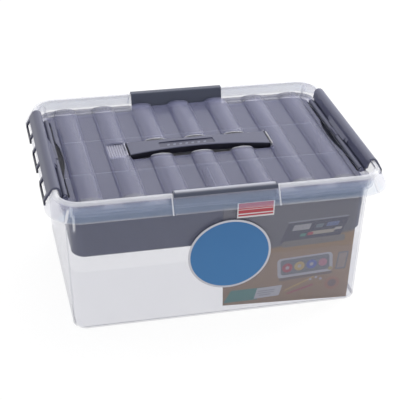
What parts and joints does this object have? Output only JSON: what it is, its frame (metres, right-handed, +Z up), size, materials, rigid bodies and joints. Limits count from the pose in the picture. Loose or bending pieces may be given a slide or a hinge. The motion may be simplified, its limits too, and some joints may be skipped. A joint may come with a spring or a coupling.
{
  "type": "plastic storage box",
  "caption": "Clear rectangular storage box with a ribbed clip-on lid, dark end clips, a raised carry handle and a hanging grey insert tray.",
  "frame": {"origin": "middle of the box's underside", "axes": "+X along the long side towards the right clip, -Y the front with the stickers, +Z up"},
  "size_m": [0.4, 0.3016, 0.18],
  "materials": {
    "clear_tub": "clear polypropylene, slightly milky",
    "clear_lid": "clear polypropylene, slightly milky",
    "dark_plastic": "satin anthracite moulding",
    "grey_tray": "satin dark grey moulding",
    "printed_card": "glossy printed card",
    "blue_sticker": "glossy paper sticker",
    "red_sticker": "glossy paper sticker"
  },
  "bodies": {
    "tub_body": {"tub": "clear_tub", "label_card": "printed_card", "oval_sticker": "blue_sticker", "striped_sticker": "red_sticker"},
    "tray_body": {"insert_tray": "grey_tray"},
    "divider_body": {"tray_divider": "grey_tray"},
    "lid_body": {"lid": "clear_lid"},
    "left_clip_body": {"left_clip": "dark_plastic"},
    "right_clip_body": {"right_clip": "dark_plastic"},
    "handle_body": {"carry_handle": "dark_plastic"}
  },
  "joints": [
    {"name": "lid_lift", "type": "slide", "parent": "tub_body", "child": "lid_body", "axis": [0, 0, 1], "range_m": [0, 0.28]},
    {"name": "tray_lift", "type": "slide", "parent": "tub_body", "child": "tray_body", "axis": [0, 0, 1], "range_m": [0, 0.14]},
    {"name": "divider_lift", "type": "slide", "parent": "tray_body", "child": "divider_body", "axis": [0, 0, 1], "range_m": [0, 0.07]},
    {"name": "left_clip_swing", "type": "hinge", "parent": "lid_body", "child": "left_clip_body", "pos_m": [-0.1748, 0, 0.1641], "axis": [0, 1, 0], "range_deg": [0, 100]},
    {"name": "right_clip_swing", "type": "hinge", "parent": "lid_body", "child": "right_clip_body", "pos_m": [0.1748, 0, 0.1641], "axis": [0, -1, 0], "range_deg": [0, 100]},
    {"name": "handle_raise", "type": "slide", "parent": "lid_body", "child": "handle_body", "axis": [0, 0, 1], "range_m": [0, 0.009]}
  ],
  "couplings": [
    {"joint": "tray_lift", "follows": "lid_lift", "ratio": 0.5},
    {"joint": "divider_lift", "follows": "lid_lift", "ratio": 0.25}
  ]
}
